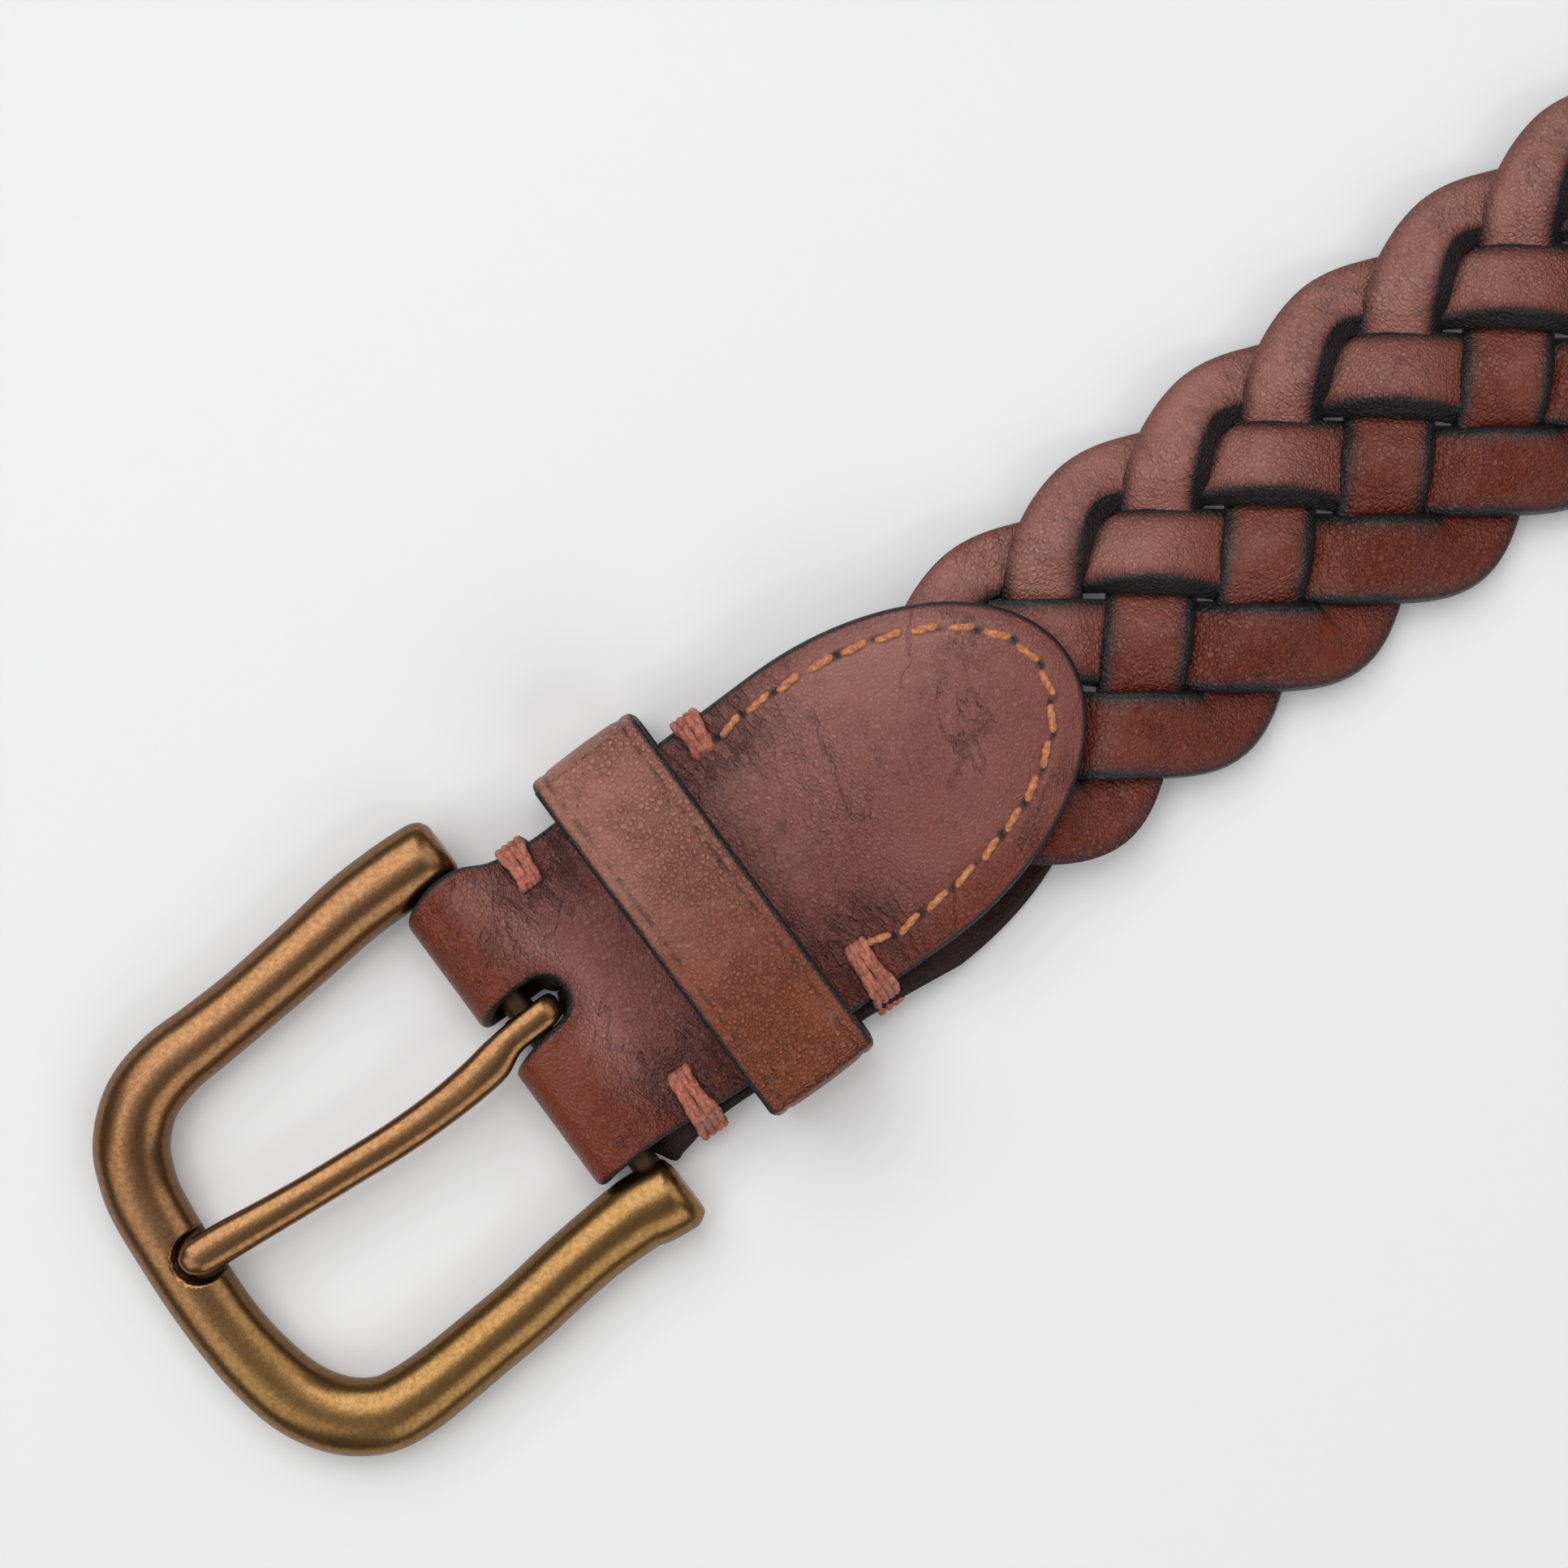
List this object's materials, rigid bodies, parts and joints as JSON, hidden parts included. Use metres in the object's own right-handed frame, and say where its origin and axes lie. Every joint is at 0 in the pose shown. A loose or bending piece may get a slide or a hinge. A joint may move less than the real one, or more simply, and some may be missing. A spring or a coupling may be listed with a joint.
{
  "type": "leather belt",
  "caption": "Braided leather strap belt with a rounded brass buckle and prong, a folded stitched leather tab, a loose keeper and a stitched tip.",
  "frame": {"origin": "on the surface that the belt lies on, under the buckle's heel bar, where the belt folds round it", "axes": "+X along the belt from the buckle to the tail, +Y across the belt, +Z out of its face"},
  "size_m": [1.1228, 0.0518, 0.0138],
  "materials": {
    "brass": "antique, brushed by tumbling, satin with dark patina in the recesses",
    "leather": "semi-gloss burnished reddish brown with darker painted edges",
    "braid_leather": "semi-gloss burnished reddish brown strands with near-black edges",
    "waxed_thread": "thick twisted thread, waxed, matt",
    "seam_thread": "twisted orange-tan sewing thread"
  },
  "bodies": {
    "head": {"chape": "leather", "tack_near_left": "waxed_thread", "tack_near_right": "waxed_thread", "tack_far_left": "waxed_thread", "tack_far_right": "waxed_thread", "head_seam": "seam_thread", "strand_1_section_1": "braid_leather", "strand_2_section_1": "braid_leather", "strand_3_section_1": "braid_leather", "strand_4_section_1": "braid_leather", "strand_5_section_1": "braid_leather"},
    "buckle": {"buckle_frame": "brass"},
    "prong": {"prong": "brass"},
    "keeper": {"keeper": "leather"},
    "braid_2": {"strand_1_section_2": "braid_leather", "strand_2_section_2": "braid_leather", "strand_3_section_2": "braid_leather", "strand_4_section_2": "braid_leather", "strand_5_section_2": "braid_leather"},
    "braid_3": {"strand_1_section_3": "braid_leather", "strand_2_section_3": "braid_leather", "strand_3_section_3": "braid_leather", "strand_4_section_3": "braid_leather", "strand_5_section_3": "braid_leather"},
    "braid_4": {"strand_1_section_4": "braid_leather", "strand_2_section_4": "braid_leather", "strand_3_section_4": "braid_leather", "strand_4_section_4": "braid_leather", "strand_5_section_4": "braid_leather"},
    "braid_5": {"strand_1_section_5": "braid_leather", "strand_2_section_5": "braid_leather", "strand_3_section_5": "braid_leather", "strand_4_section_5": "braid_leather", "strand_5_section_5": "braid_leather"},
    "braid_6": {"strand_1_section_6": "braid_leather", "strand_2_section_6": "braid_leather", "strand_3_section_6": "braid_leather", "strand_4_section_6": "braid_leather", "strand_5_section_6": "braid_leather"},
    "braid_7": {"strand_1_section_7": "braid_leather", "strand_2_section_7": "braid_leather", "strand_3_section_7": "braid_leather", "strand_4_section_7": "braid_leather", "strand_5_section_7": "braid_leather"},
    "tail": {"strand_1_section_8": "braid_leather", "strand_2_section_8": "braid_leather", "strand_3_section_8": "braid_leather", "strand_4_section_8": "braid_leather", "strand_5_section_8": "braid_leather", "tip_tab_face": "leather", "tip_tab_back": "leather", "tip_seam": "seam_thread"}
  },
  "joints": [
    {"name": "buckle_pivot", "type": "hinge", "parent": "head", "child": "buckle", "pos_m": [0, 0.001, 0.00435], "axis": [-0.0436, 0.999, 0], "range_deg": [-20, 35]},
    {"name": "prong_pivot", "type": "hinge", "parent": "buckle", "child": "prong", "pos_m": [0, 0.001, 0.00435], "axis": [-0.0436, 0.999, 0], "range_deg": [0, 60]},
    {"name": "keeper_slide", "type": "slide", "parent": "head", "child": "keeper", "axis": [1, 0, 0], "range_m": [-0.0038, 0.0016]},
    {"name": "strap_bend_1", "type": "hinge", "parent": "head", "child": "braid_2", "pos_m": [0.12, -0.0017, 0.0028], "axis": [0, 1, 0], "range_deg": [-40, 40]},
    {"name": "strap_bend_2", "type": "hinge", "parent": "braid_2", "child": "braid_3", "pos_m": [0.255, -0.0017, 0.0028], "axis": [0, 1, 0], "range_deg": [-40, 40]},
    {"name": "strap_bend_3", "type": "hinge", "parent": "braid_3", "child": "braid_4", "pos_m": [0.39, -0.0017, 0.0028], "axis": [0, 1, 0], "range_deg": [-40, 40]},
    {"name": "strap_bend_4", "type": "hinge", "parent": "braid_4", "child": "braid_5", "pos_m": [0.525, -0.0017, 0.0028], "axis": [0, 1, 0], "range_deg": [-40, 40]},
    {"name": "strap_bend_5", "type": "hinge", "parent": "braid_5", "child": "braid_6", "pos_m": [0.66, -0.0017, 0.0028], "axis": [0, 1, 0], "range_deg": [-40, 40]},
    {"name": "strap_bend_6", "type": "hinge", "parent": "braid_6", "child": "braid_7", "pos_m": [0.795, -0.0017, 0.0028], "axis": [0, 1, 0], "range_deg": [-40, 40]},
    {"name": "strap_bend_7", "type": "hinge", "parent": "braid_7", "child": "tail", "pos_m": [0.93, -0.0017, 0.0028], "axis": [0, 1, 0], "range_deg": [-40, 40]}
  ]
}
